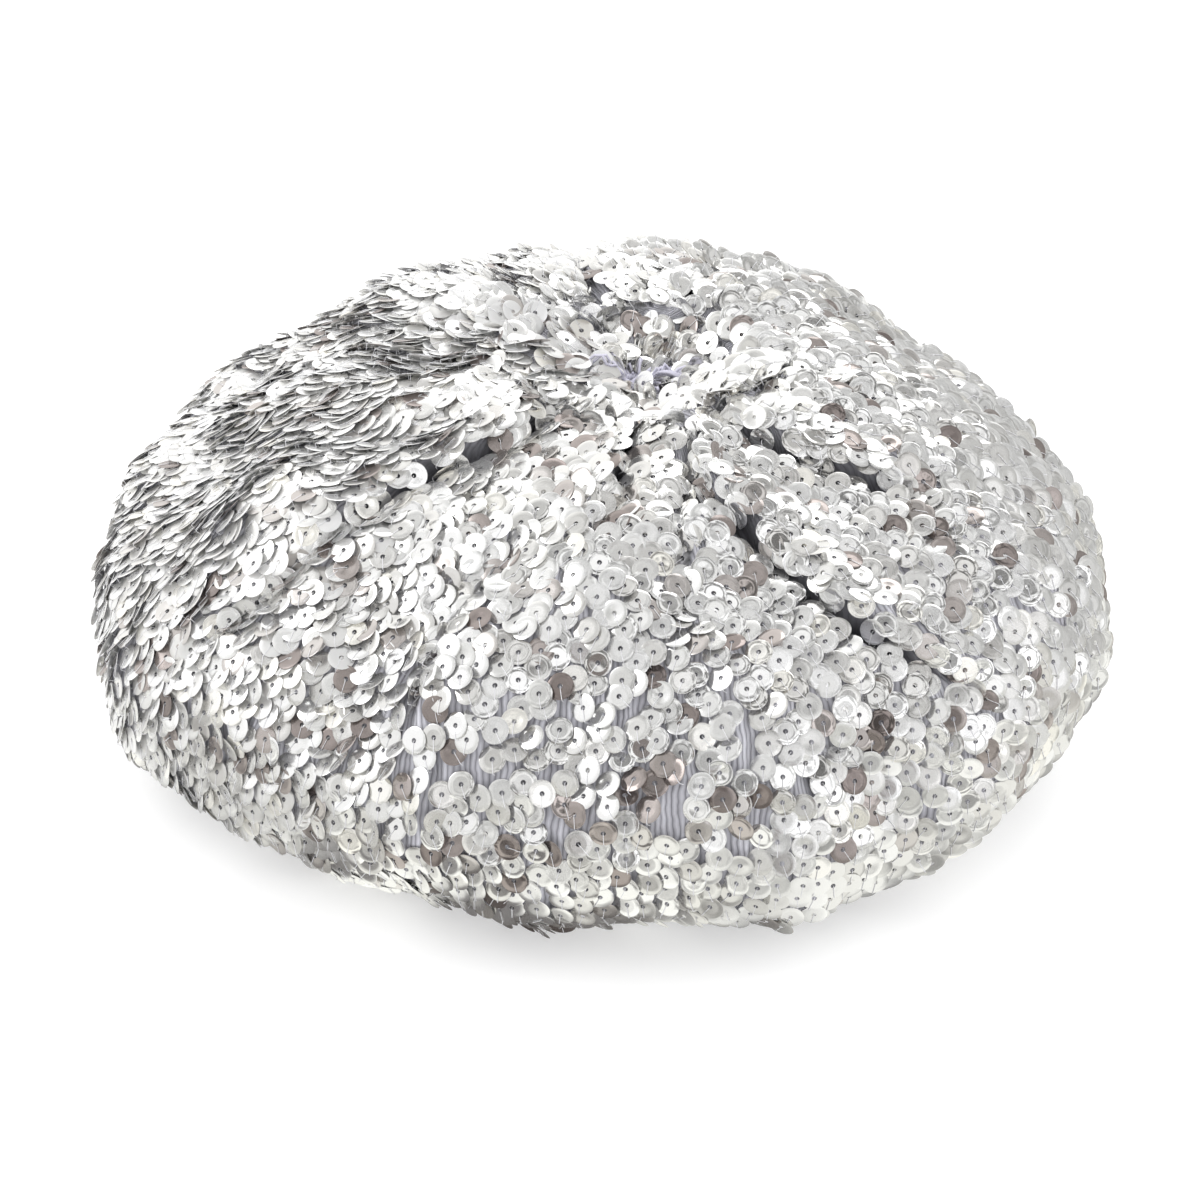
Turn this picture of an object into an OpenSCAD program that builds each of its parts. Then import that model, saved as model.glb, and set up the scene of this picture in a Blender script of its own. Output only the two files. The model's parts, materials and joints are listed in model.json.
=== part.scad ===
// Puffed knit beret covered all over in small round sequins.
// The knit body, headband, lining, label, sewing threads and every sequin are separate solids.
// The hat stands on the fold of its headband, with its origin at the centre of that ring.

/* [Body] */
// Radius of the knit at its widest circle
rim_r = 117; // [112:1:120]
// Height of the widest circle above the table
rim_z = 38; // [36:1:42]
// Rise of the crown above the widest circle
crown_rise = 62; // [56:1:68]
// Drop of the underside below the widest circle
under_drop = 33.5; // [30:0.5:34]
// Depth of the dimple at the gathered centre
dimple_depth = 11; // [8:0.5:12]
// Radius over which the dimple fades out
dimple_r = 22; // [20:1:26]
// Thickness of the knit
knit_t = 2; // [1.5:0.1:2.2]

/* [Gathered centre] */
// Radius of the hole that the drawcord closes
gather_r = 5; // [5:0.1:6]
// Thickness of the drawcord
cord_d = 1.8; // [1.4:0.1:1.8]
// Diameter of the knot in the drawcord
knot_d = 6; // [5:0.1:6]

/* [Headband] */
// Inside radius of the headband, relaxed
band_r = 79; // [76:0.5:79]
// Height of the folded headband
band_h = 27; // [24:1:30]
// Thickness of one layer of the ribbed headband
band_ply = 2; // [1.6:0.1:2]
// Gap between the two layers
band_gap = 1.2; // [1:0.1:1.2]
// Rounding of the fold that the hat stands on
fold_round = 1.2; // [0.6:0.1:1.4]
// Thickness of the flat elastic inside the headband
elastic_t = 0.8; // [0.6:0.1:0.9]
// Width of the flat elastic
elastic_w = 22; // [16:1:22]

/* [Sequins] */
// Diameter of a sequin
sequin_d = 6; // [5:0.1:6]
// Diameter of its centre hole
hole_d = 1.1; // [1:0.1:1.4]
// Thickness of a sequin
sequin_t = 0.2; // [0.15:0.01:0.22]
// Sequins in one round at the widest circle
columns = 116; // [104:4:120]
// Distance from one round to the next, along the knit
round_pitch = 4.6; // [4.4:0.1:5]
// Lean of each sequin about the line from the centre to the rim
side_lean = 27; // [24:1:30]
// Lean of each sequin towards the gathered centre
crown_lean = 7; // [6:0.5:9]
// Diameter of the thread that each round is strung on
thread_d = 0.2; // [0.15:0.01:0.22]

/* [Lining] */
// Radius of the lining at its widest circle
lining_r = 110; // [106:1:111]
// Rise of the lining above that circle
lining_rise = 46; // [40:1:46]
// Drop of the lining below that circle
lining_drop = 14; // [13:0.5:15]
// Thickness of the lining cloth
lining_t = 0.4; // [0.3:0.05:0.5]
// Angle from the top at which the crown panel meets the side panel
panel_split = 52; // [46:1:56]
// Stitches that hold the lining to the headband
hem_stitches = 60; // [40:4:72]

/* [Label] */
// Width of the blank care label
label_w = 30; // [24:1:34]
// Angles, from the top, at the label's upper and lower edges
label_top = 62; // [60:1:66]
label_bottom = 82; // [78:1:84]

/* [Hidden] */
eps = 0.01;
thread_clear = 0.05;
clear = 0.1;
arc_step = 3;
lining_step = 4;
band_out_r = band_r + 2*band_ply + band_gap;
edge_r = band_out_r + 0.3;
hem_r = band_out_r + 0.4;
sequin_clear = 0.45;
sequin_lift = sequin_d/2*sin(side_lean) + sequin_clear;
first_sequin_r = gather_r + 9;
last_sequin_angle = 168;
half_from_r = 62;
quarter_from_r = 31;
seam_d = 0.8;
stitch_d = 0.6;
stitch_len = 4;
label_t = 0.3;
label_turn = label_w/lining_r*180/PI;
label_stitch_d = 0.4;
label_stitch_len = 2;
label_stitch_step = 2.5;
label_stitch_out = lining_t + clear + label_t + clear + label_stitch_d/2;
cord_sides = 32;
disc_sides = 48;
stitch_sides = 16;
$fn = 96;

// Knit profile, by the angle from the top centre: 90 at the widest circle, 180 at the headband
function body_r(a) = a < 90 ? rim_r*sin(a) : edge_r + (rim_r - edge_r)*sin(a);
function dimple(r) = dimple_depth*exp(-pow(r/dimple_r, 2));
function body_z(a) = a < 90 ? rim_z + crown_rise*cos(a) - dimple(body_r(a)) : rim_z + under_drop*cos(a);
function body_rise(a) = [body_r(a + 0.5) - body_r(a - 0.5), body_z(a + 0.5) - body_z(a - 0.5)];
function body_facing(a) = atan2(-body_rise(a)[1], body_rise(a)[0]);
function body_at(a, lift) = [body_r(a) + lift*sin(body_facing(a)), body_z(a) + lift*cos(body_facing(a))];

// Angles that the rounds of sequins sit at, an even distance apart along the knit
first_angle = asin(first_sequin_r/rim_r);
function next_angle(a) = a + round_pitch/norm(body_rise(a));
function round_angles(a) = a > last_sequin_angle ? [] : concat([a], round_angles(next_angle(a)));
rounds = round_angles(first_angle);
quarter_angle = asin(quarter_from_r/rim_r);
half_angle = asin(half_from_r/rim_r);
function share(a) = a > half_angle ? 1 : a > quarter_angle ? 2 : 4;

// Lining profile, by the same angle
function lining_radius(a) = a < 90 ? lining_r*sin(a) : hem_r + (lining_r - hem_r)*sin(a);
function lining_z(a) = a < 90 ? rim_z + lining_rise*cos(a) : rim_z + lining_drop*cos(a);
function lining_way(a) = [
  lining_radius(a + 0.5) - lining_radius(a - 0.5),
  lining_z(a + 0.5) - lining_z(a - 0.5)
];
function lining_facing(a) = atan2(-lining_way(a)[1], lining_way(a)[0]);
function lining_at(a, lift) = [
  lining_radius(a) + lift*sin(lining_facing(a)),
  lining_z(a) + lift*cos(lining_facing(a))
];

function two_digits(i) = str(i < 9 ? "0" : "", i + 1);
ROUND_NAMES = [for (i = [0:len(rounds) - 1]) str("sequin_round_", two_digits(i))];
STRINGS = ["sequin_threads_gather", "sequin_threads_crown", "sequin_threads_side", "sequin_threads_under"];

// Closed band between two profiles, spun round the middle
module spun_shell(outer, inner) {
  rotate_extrude()
    polygon(concat(outer, [for (i = [len(inner) - 1:-1:0]) inner[i]]));
}

// Round thread or cord laid in a ring
module ring(centre, d) {
  rotate_extrude()
    translate(centre)
      circle(d = d, $fn = cord_sides);
}

module body_knit() {
  from = asin(gather_r/rim_r);
  angles = concat([from], [for (a = [ceil(from) + 2:arc_step:179]) a], [180 - eps]);
  color("gainsboro")
    spun_shell([for (a = angles) body_at(a, 0)], [for (a = angles) body_at(a, -knit_t)]);
}

module gather_cord() {
  middle = body_at(asin(gather_r/rim_r), -knit_t/2);
  color("thistle")
    ring([gather_r - cord_d/2 - clear, middle[1]], cord_d);
}

module gather_knot() {
  middle = body_at(asin(gather_r/rim_r), -knit_t/2);
  color("thistle")
    translate([0, 0, middle[1]])
      sphere(d = knot_d);
}

// Section of the ribbed band, folded double with the fold at the bottom
module band_section() {
  quarter = [for (a = [0:15:90]) fold_round*[1 - cos(a), 1 - sin(a)]];
  polygon(concat(
    [[band_r, band_h]],
    [for (p = quarter) [band_r + p[0], p[1]]],
    [for (i = [len(quarter) - 1:-1:0]) [band_out_r - quarter[i][0], quarter[i][1]]],
    [
      [band_out_r, band_h],
      [band_out_r - band_ply, band_h],
      [band_out_r - band_ply, band_ply],
      [band_r + band_ply, band_ply],
      [band_r + band_ply, band_h]
    ]
  ));
}

module headband_rib() {
  color("lightgray")
    rotate_extrude()
      band_section();
}

module headband_elastic() {
  color("white")
    rotate_extrude()
      translate([band_r + band_ply + (band_gap - elastic_t)/2, band_ply + 1])
        square([elastic_t, elastic_w]);
}

module band_seam_thread() {
  color("silver")
    ring(
      [band_out_r + seam_d/2 + thread_clear, rim_z - under_drop - seam_d/2 - thread_clear],
      seam_d
    );
}

module lining_crown() {
  angles = concat([0], [for (a = [lining_step:lining_step:panel_split - 2]) a], [panel_split - clear]);
  color("lightsteelblue")
    rotate_extrude()
      polygon(concat(
        [for (a = angles) a == 0 ? [0, lining_z(0)] : lining_at(a, 0)],
        [for (i = [len(angles) - 1:-1:1]) lining_at(angles[i], -lining_t)],
        [[0, lining_z(0) - lining_t]]
      ));
}

module lining_side() {
  angles = concat([for (a = [panel_split:lining_step:178]) a], [180 - eps]);
  color("lightsteelblue")
    spun_shell([for (a = angles) lining_at(a, 0)], [for (a = angles) lining_at(a, -lining_t)]);
}

module lining_seam_thread() {
  color("slategray")
    ring(lining_at(panel_split, stitch_d/2 + thread_clear), stitch_d);
}

// Short stitches round the top edge of the headband, through the hem of the lining
module lining_hem_stitches() {
  above_hem = rim_z - lining_drop + lining_t + stitch_d/2 + thread_clear;
  color("slategray")
    for (i = [0:hem_stitches - 1])
      rotate([0, 0, 360*i/hem_stitches])
        translate([hem_r + 2*clear, 0, above_hem])
          rotate([0, 90, 0])
            cylinder(d = stitch_d, h = stitch_len, $fn = stitch_sides);
}

module care_label() {
  angles = [for (a = [label_top:2:label_bottom]) a];
  near = -lining_t - clear;
  color("white")
    rotate([0, 0, 90 - label_turn/2])
      rotate_extrude(angle = label_turn)
        polygon(concat(
          [for (a = angles) lining_at(a, near)],
          [for (i = [len(angles) - 1:-1:0]) lining_at(angles[i], near - label_t)]
        ));
}

// Stitches down the two sides of the label, laid on its face
module label_stitches() {
  color("slategray")
    for (side = [-1, 1])
      for (a = [label_top + 2:label_stitch_step:label_bottom - 1])
        rotate([0, 0, 90 + side*(label_turn/2 - 1)])
          translate([lining_at(a, -label_stitch_out)[0], 0, lining_at(a, -label_stitch_out)[1]])
            rotate([0, lining_facing(a) + 90, 0])
              cylinder(d = label_stitch_d, h = label_stitch_len, center = true, $fn = stitch_sides);
}

module sequin() {
  rotate_extrude($fn = disc_sides)
    translate([hole_d/2, -sequin_t/2])
      square([(sequin_d - hole_d)/2, sequin_t]);
}

// One round: sequins an even angle apart, each facing out of the knit and leaning two ways
module sequin_round(a) {
  at = body_at(a, sequin_lift);
  count = columns/share(a);
  color("silver")
    for (i = [0:count - 1])
      rotate([0, 0, 360*i/count])
        translate([at[0], 0, at[1]])
          rotate([0, body_facing(a) - crown_lean, 0])
            rotate([side_lean, 0, 0])
              sequin();
}

// The threads of all the rounds between two angles, each through the holes of its sequins
module sequin_threads(from, to) {
  color("whitesmoke")
    for (a = rounds)
      if (a >= from && a < to)
        ring(body_at(a, sequin_lift), thread_d);
}

body_knit();
gather_cord();
gather_knot();
headband_rib();
headband_elastic();
band_seam_thread();
lining_crown();
lining_side();
lining_seam_thread();
lining_hem_stitches();
care_label();
label_stitches();
sequin_threads(0, quarter_angle);  // sequin_threads_gather
sequin_threads(quarter_angle, half_angle);  // sequin_threads_crown
sequin_threads(half_angle, 90);  // sequin_threads_side
sequin_threads(90, 180);  // sequin_threads_under
for (i = [0:len(rounds) - 1])
  sequin_round(rounds[i]);
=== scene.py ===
"""A puffed knit beret covered in silver sequins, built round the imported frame.

Lengths inside the script are in millimetres and are turned into metres as each mesh is made. Angles along the
knit's profile run from 0 at the gathered centre, over 90 at the widest circle, to 180 at the headband.
"""
import json
import math

import bpy
import numpy as np
from mathutils import Matrix, Vector


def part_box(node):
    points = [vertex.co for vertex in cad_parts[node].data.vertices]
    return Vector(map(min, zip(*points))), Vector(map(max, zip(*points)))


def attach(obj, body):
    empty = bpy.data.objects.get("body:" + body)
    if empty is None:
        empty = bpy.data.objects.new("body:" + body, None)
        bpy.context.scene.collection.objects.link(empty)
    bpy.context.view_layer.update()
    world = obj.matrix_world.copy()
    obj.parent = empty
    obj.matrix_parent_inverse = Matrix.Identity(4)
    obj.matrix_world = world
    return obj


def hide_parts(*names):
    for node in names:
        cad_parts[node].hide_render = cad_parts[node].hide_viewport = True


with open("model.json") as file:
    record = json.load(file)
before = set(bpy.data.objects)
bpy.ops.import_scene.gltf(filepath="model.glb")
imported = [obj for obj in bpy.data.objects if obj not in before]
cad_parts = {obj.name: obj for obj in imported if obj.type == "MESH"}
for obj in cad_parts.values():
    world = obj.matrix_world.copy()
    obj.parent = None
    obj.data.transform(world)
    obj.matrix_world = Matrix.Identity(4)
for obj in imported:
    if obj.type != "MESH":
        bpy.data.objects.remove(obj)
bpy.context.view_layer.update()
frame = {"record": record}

MM = 0.001
TURN = 2 * math.pi

# ---------------------------------------------------------------- sizes, from the frame


def box_mm(node):
    low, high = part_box(node)
    return np.array(low) / MM, np.array(high) / MM


knit_low, knit_high = box_mm("body_knit")
band_high = box_mm("headband_rib")[1]
cord_low, cord_high = box_mm("gather_cord")
lining_low, lining_high = box_mm("lining_side")
crown_high = box_mm("lining_crown")[1]
head_opening = next(m for m in frame["record"]["mounts"] if m["name"] == "head_opening")

RIM_R = knit_high[0]
RIM_Z = 38.0
CROWN_RISE = 62.0
UNDER_DROP = RIM_Z - knit_low[2]
DIMPLE_DEPTH = 11.0
DIMPLE_R = 22.0
KNIT_T = 2.0
GATHER_R = 5.0
BAND_R = head_opening["dims"]["r_mm"]
BAND_OUT_R = band_high[0]
BAND_H = band_high[2]
EDGE_R = BAND_OUT_R + 0.3
LINING_R = lining_high[0]
LINING_TOP = crown_high[2]
LINING_DROP = RIM_Z - lining_low[2]
LINING_T = 0.4
PANEL_SPLIT = math.radians(52)
GATHER_SHIFT = 6.5

SEQUIN_R = 3.0
HOLE_R = 0.55
SEQUIN_T = 0.12
FLOOR_GAP = 0.1
COLUMNS = 116
ROUND_PITCH = 4.6
FIRST_SEQUIN_R = 14.0
LAST_SEQUIN_ANGLE = math.radians(168)
SIDE_LEAN = math.radians(15)
NEAR_SIDE_LEAN = math.radians(13)
FRONT_LEFT_LEAN = math.radians(9)
LEFT_LOBE_LEAN = math.radians(6)
CROWN_LEAN = math.radians(12)

# ---------------------------------------------------------------- camera

CAMERA_ELEVATION = math.radians(28.4)
CAMERA_DISTANCE = 0.90
CAMERA_ROLL = math.radians(1.83)
CAMERA_LENS = 114.5
ORBIT_CENTRE = Vector((0, 0, 0.05))
AIM = Vector((-0.0003, -0.0076, 0.036))


def link(made):
    bpy.context.scene.collection.objects.link(made)


def make_camera():
    data = bpy.data.cameras.new("camera")
    data.sensor_width = 36
    data.lens = CAMERA_LENS
    data.clip_start = 0.05
    camera = bpy.data.objects.new("camera", data)
    link(camera)
    back = Vector((0, -math.cos(CAMERA_ELEVATION), math.sin(CAMERA_ELEVATION)))
    camera.location = ORBIT_CENTRE + back * CAMERA_DISTANCE
    looking = (AIM - camera.location).to_track_quat("-Z", "Y").to_matrix().to_4x4()
    turn = looking @ Matrix.Rotation(CAMERA_ROLL, 4, "Z")
    camera.rotation_euler = turn.to_euler()
    bpy.context.scene.camera = camera


make_camera()

# ---------------------------------------------------------------- mesh helpers


def new_piece(name, points, face_sets, nodes, smooth_angle):
    """A mesh object from points in mm and lists of faces that each have one number of corners."""
    mesh = bpy.data.meshes.new(name)
    mesh.vertices.add(len(points))
    mesh.vertices.foreach_set("co", np.asarray(points, np.float32).ravel() * MM)
    corners = np.concatenate([np.asarray(f).ravel() for f in face_sets])
    sizes = np.concatenate([np.full(len(f), np.asarray(f).shape[1]) for f in face_sets])
    mesh.loops.add(len(corners))
    mesh.loops.foreach_set("vertex_index", corners.astype(np.int32))
    mesh.polygons.add(len(sizes))
    starts = np.concatenate([[0], np.cumsum(sizes)[:-1]])
    mesh.polygons.foreach_set("loop_start", starts.astype(np.int32))
    mesh.update(calc_edges=True)
    mesh.validate()
    mesh.polygons.foreach_set("use_smooth", np.ones(len(mesh.polygons), bool))
    mesh.set_sharp_from_angle(angle=math.radians(smooth_angle))
    piece = bpy.data.objects.new(name, mesh)
    link(piece)
    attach(piece, "root")
    if nodes:
        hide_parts(*nodes)
    return piece


def set_attribute(piece, name, values, kind="FLOAT", domain="POINT"):
    layer = piece.data.attributes.new(name, kind, domain)
    key = "vector" if kind == "FLOAT_VECTOR" else "value"
    layer.data.foreach_set(key, np.asarray(values, np.float32).ravel())


def unit(v):
    return v / np.linalg.norm(v, axis=-1, keepdims=True)


def polar(r, turn, z):
    return np.stack([r * np.cos(turn), r * np.sin(turn), z], -1)


def grid_faces(rows, cols, wrap_rows=False, wrap_cols=True):
    """Quads of a grid whose columns, and if asked its rows, close on themselves."""
    r = np.arange(rows if wrap_rows else rows - 1)[:, None]
    c = np.arange(cols if wrap_cols else cols - 1)[None, :]
    r2, c2 = (r + 1) % rows, (c + 1) % cols
    quads = np.stack([r * cols + c, r2 * cols + c, r2 * cols + c2, r * cols + c2], -1)
    return quads.reshape(-1, 4)


def tubes(paths, radius, sides, side_hint=None):
    """Closed tubes of one radius along paths, an array of n paths by k points by xyz."""
    paths = np.asarray(paths, float)
    n, k, _ = paths.shape
    along = np.gradient(paths, axis=1)
    along /= np.linalg.norm(along, axis=2, keepdims=True) + 1e-9
    hint = np.array([0.0, 0.0, 1.0]) if side_hint is None else side_hint
    across = np.cross(along, hint)
    across /= np.linalg.norm(across, axis=2, keepdims=True) + 1e-9
    up = np.cross(across, along)
    spin = np.arange(sides) * TURN / sides
    ring = (
        np.cos(spin)[None, None, :, None] * across[:, :, None, :]
        + np.sin(spin)[None, None, :, None] * up[:, :, None, :]
    )
    points = (paths[:, :, None, :] + radius * ring).reshape(-1, 3)
    wall = grid_faces(k, sides)
    caps = np.stack([np.arange(sides), (k - 1) * sides + np.arange(sides)[::-1]])
    base = (np.arange(n) * k * sides)[:, None, None]
    return points, [(wall[None] + base).reshape(-1, 4), (caps[None] + base).reshape(-1, sides)]


def joined(parts):
    """One set of points and faces from several."""
    points, faces, count = [], [], 0
    for p, face_sets in parts:
        points.append(p)
        faces += [f + count for f in face_sets]
        count += len(p)
    return np.concatenate(points), faces


def ring_tube(path, radius, sides):
    """A tube round a closed path."""
    path = np.asarray(path, float)
    along = unit(np.roll(path, -1, axis=0) - np.roll(path, 1, axis=0))
    out = path * [1, 1, 0]
    out /= np.linalg.norm(out, axis=1, keepdims=True) + 1e-9
    across = unit(out - along * (out * along).sum(1, keepdims=True))
    up = np.cross(along, across)
    spin = np.arange(sides) * TURN / sides
    ring = np.cos(spin)[None, :, None] * across[:, None] + np.sin(spin)[None, :, None] * up[:, None]
    points = (path[:, None] + radius * ring).reshape(-1, 3)
    return points, [grid_faces(len(path), sides, wrap_rows=True)]


# ---------------------------------------------------------------- smooth noise, the same each run


def waves(seed, count, longest, shortest):
    """A smooth bumpy field over space: a sum of plane waves between two wavelengths in mm."""
    rng = np.random.default_rng(seed)
    way = unit(rng.normal(size=(count, 3)))
    length = np.exp(rng.uniform(math.log(shortest), math.log(longest), count))
    phase = rng.uniform(0, TURN, count)

    def field(points):
        angle = (points @ way.T) * (TURN / length) + phase
        return np.sin(angle).sum(-1) * math.sqrt(2 / count)

    return field


# ---------------------------------------------------------------- the knit's shape


def base_profile(a):
    """Radius and height of the knit's outer face at profile angle a, as in the frame."""
    crown = a < math.pi / 2
    r = np.where(crown, RIM_R * np.sin(a), EDGE_R + (RIM_R - EDGE_R) * np.sin(a))
    dimple = DIMPLE_DEPTH * np.exp(-((r / DIMPLE_R) ** 2)) * crown
    z = RIM_Z + np.where(crown, CROWN_RISE, UNDER_DROP) * np.cos(a) - dimple
    return r, z


A_TABLE = np.radians(np.linspace(0, 180, 1801))
R_TABLE, Z_TABLE = base_profile(A_TABLE)
S_TABLE = np.concatenate([[0], np.cumsum(np.hypot(np.diff(R_TABLE), np.diff(Z_TABLE)))])


def along_knit(a):
    """Distance along the knit from the gathered centre."""
    return np.interp(a, A_TABLE, S_TABLE)


def angle_at(s):
    return np.interp(s, S_TABLE, A_TABLE)


# Folds of the gathered crown. Each has its half width and overhang in mm, then points down its length: radius
# on the smooth profile, azimuth in degrees and depth in mm. A positive overhang leans the anticlockwise side.
FOLDS = [
    (2.0, -1.2, [(24, 234, 0), (37, 236, 5.5), (43, 235, 8), (50, 233, 9), (56, 230, 9),
                 (62, 227, 7.5), (71, 226, 5), (92, 225, 3), (108, 220, 1.5), (115, 216, 0)]),
    (2.4, 1.2, [(50, 291, 0), (60, 293, 5), (67, 296, 7.5), (77, 298, 9), (84, 301, 10),
                (91, 303, 10), (98, 306, 9), (104, 310, 7), (109, 314, 3), (113, 318, 0)]),
    (2.4, 1.2, [(34, 304, 0), (44, 309, 6), (52, 315, 9), (58, 320, 9),
                (64, 322, 8), (71, 325, 6), (78, 328, 3), (84, 331, 0)]),
    (2.2, 1.0, [(28, 294, 0), (46, 292, 6), (56, 288, 7),
                (68, 284, 6.5), (79, 282, 4), (94, 280, 0)]),
    (2.2, -1.0, [(8, 268, 0), (21, 268, 6), (34, 268, 7),
                 (46, 267, 6.5), (58, 268, 5), (76, 267, 0)]),
    (2.4, 1.5, [(10, 4, 0), (23, 0, 5), (37, 351, 5), (58, 346, 2), (76, 343, 0)]),
    (2.4, 1.6, [(8, 180, 0), (20, 176, 5), (34, 171, 4.5), (56, 166, 0)]),
    (2.2, 1.0, [(10, 214, 0), (24, 212, 4), (42, 208, 3), (60, 205, 0)]),
    (3.4, 1.8, [(8, 116, 0), (19, 113, 3), (44, 108, 5.5),
                (67, 103, 6.5), (90, 99, 3), (108, 97, 0)]),
    (3.0, -2.0, [(12, 40, 0), (30, 38, 6), (55, 36, 7), (80, 33, 3.5), (104, 30, 0)]),
    (2.6, 1.4, [(8, 74, 0), (24, 72, 5), (46, 69, 4), (66, 67, 0)]),
    (3.0, 2.2, [(14, 150, 0), (34, 147, 6), (60, 143, 6.5), (84, 139, 3), (106, 136, 0)]),
    (3.4, 1.2, [(70, 255, 0), (88, 252, 1.6), (104, 250, 1.8), (115, 248, 0)]),
    (3.4, -1.2, [(72, 333, 0), (90, 336, 2.2), (106, 340, 1.8), (115, 342, 0)]),
]


def fold_line(points):
    """Even samples of a fold's azimuth and depth by distance along the knit, with its corners eased."""
    radius, azimuth, depth = np.array(points, float).T
    s = along_knit(np.arcsin(radius / RIM_R))
    even = np.linspace(0, S_TABLE[-1], 400)
    ease = np.hanning(31) / np.hanning(31).sum()
    deep = np.convolve(np.pad(np.interp(even, s, depth, 0, 0), 15, mode="edge"), ease, "valid")
    turn = np.convolve(np.pad(np.interp(even, s, np.radians(azimuth)), 15, mode="edge"), ease, "valid")
    return even, turn, deep


FOLD_LINES = [(wide, lean, *fold_line(points)) for wide, lean, points in FOLDS]
swells = waves(11, 24, 90, 34)
wrinkles = waves(12, 40, 22, 9)


def fold_places(s, phi, radius):
    """For each fold: half width, overhang, depth here, full depth, and distance from it on its lip's side."""
    for wide, lean, even, turn, deep in FOLD_LINES:
        away = ((phi - np.interp(s, even, turn) + math.pi) % TURN - math.pi) * radius
        yield wide, lean, np.interp(s, even, deep), deep.max(), away * math.copysign(1.0, lean)


def fold_core(s, phi, over, under):
    """1 at the bottom of the deep folds, as far up the overhanging and the open wall as these half widths."""
    core = np.zeros_like(phi)
    for wide, _, deep, _, lip in fold_places(s, phi, np.interp(s, S_TABLE, R_TABLE)):
        zone = np.exp(-((lip / (np.where(lip > 0, over, under) * wide)) ** 6))
        core = np.maximum(core, np.clip(deep / 3 - 1, 0, 1) * zone)
    return core


def fold_lip(s, phi):
    """How far the film turns clockwise where a lobe curls over its fold, from -1 to 1."""
    turned = np.zeros_like(phi)
    for wide, lean, deep, _, lip in fold_places(s, phi, np.interp(s, S_TABLE, R_TABLE)):
        side = math.copysign(1.0, lean)
        turned += side * np.clip(deep / 8, 0, 1) * np.exp(-(((lip - 1.8 * wide) / (1.3 * wide)) ** 2))
    return turned


# Regions round the hat: azimuth and spread in degrees.
RIGHT_SHOULDER = (22, 42)
BACK_CROWN = (84, 26)
LEFT_LOBE = (178, 36)
LEFT_MATT = (186, 44)
LEFT_CROWDED = (192, 44)
LEFT_BELLY = (196, 38)
FRONT_LEFT = (245, 28)
FRONT_CROWN = (268, 52)
NEAR_SIDE = (345, 75)
RIGHT_DROOP = 6.5
LEFT_FILL = 5.0
BACK_RISE = 5.0


def near(phi, azimuth, spread):
    """1 at an azimuth, falling to nothing either side of it."""
    away = (phi - math.radians(azimuth) + math.pi) % TURN - math.pi
    return np.exp(-((away / math.radians(spread)) ** 2))


def low_front(phi, a, azimuth_spread, angle_spread):
    """1 in the middle of the lower front, falling to nothing away from it."""
    return near(phi, 266, azimuth_spread) * np.exp(-(((a - 1.42) / angle_spread) ** 2))


def sag(a, phi, r):
    """How far the shape sinks: the right shoulder droops, the left is fuller low down, the back stands up."""
    shoulder = np.clip((r - 50) / 60, 0, 1) ** 2 * np.clip((2.1 - a) / 0.6, 0, 1)
    low = np.exp(-(((a - 1.95) / 0.55) ** 2))
    back = np.exp(-(((r - 72) / 34) ** 2)) * (a < math.pi / 2)
    droop = RIGHT_DROOP * near(phi, *RIGHT_SHOULDER) * shoulder
    return droop + LEFT_FILL * near(phi, *LEFT_BELLY) * low - BACK_RISE * near(phi, *BACK_CROWN) * back


def knit_points(a, phi, lift=0.0):
    """Points of the puffed and pleated knit, lifted off its face along the smooth profile's normal."""
    a, phi = np.broadcast_arrays(np.asarray(a, float), np.asarray(phi, float))
    r, z = base_profile(a)
    step = 0.004
    r1, z1 = base_profile(a + step)
    r0, z0 = base_profile(a - step)
    size = np.hypot(r1 - r0, z1 - z0)
    normal_r, normal_z = -(z1 - z0) / size, (r1 - r0) / size
    s = along_knit(a)
    depth = np.zeros_like(r)
    shift = np.zeros_like(r)
    for wide, lean, deep, full, lip in fold_places(s, phi, r):
        steep = np.exp(-np.abs(lip / wide) ** 3)
        valley = np.where(lip > 0, steep, np.exp(-np.abs(lip / (1.5 * wide)) ** 1.6))
        shoulder = np.exp(-(((lip - 2.6 * wide) / (2.2 * wide)) ** 2))
        depth += deep * (valley - 0.30 * shoulder)
        reach = math.copysign(1.3 * wide + abs(lean), lean) * deep / full
        past = (lip - 1.3 * wide) / wide
        shift -= reach * np.where(past > 0, np.exp(-((past / 5) ** 2)), np.exp(-((past / 0.9) ** 2)))
    gathers = np.exp(-((s / 20.0) ** 2)) * (1 - np.exp(-((s / 6.0) ** 2)))
    depth += gathers * (1.6 * np.cos(15 * phi + 1.0) + 1.1 * np.cos(22 * phi + 2.2))
    flat = polar(r, phi, z)
    fade = np.clip((math.pi - a) / 0.5, 0, 1)
    depth -= 1.6 * swells(flat) * fade + 0.35 * wrinkles(flat) * fade
    off = lift - depth
    turned = phi + shift / np.maximum(r, 8.0)
    r2, z2 = r + off * normal_r, z + off * normal_z
    crown_share = np.clip(1 - r / RIM_R, 0, 1) * (a < math.pi / 2)
    x = r2 * np.cos(turned) + GATHER_SHIFT * crown_share
    z2 = z2 - sag(a, phi, r)
    return np.stack([x, r2 * np.sin(turned), z2], -1)


def knit_frames(a, phi):
    """Points on the knit with unit vectors away from the centre, anticlockwise, and out of the knit."""
    d = 0.006
    outward = unit(knit_points(a + d, phi) - knit_points(a - d, phi))
    normal = unit(np.cross(outward, knit_points(a, phi + d) - knit_points(a, phi - d)))
    return knit_points(a, phi), outward, np.cross(normal, outward), normal


# ---------------------------------------------------------------- materials


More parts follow.
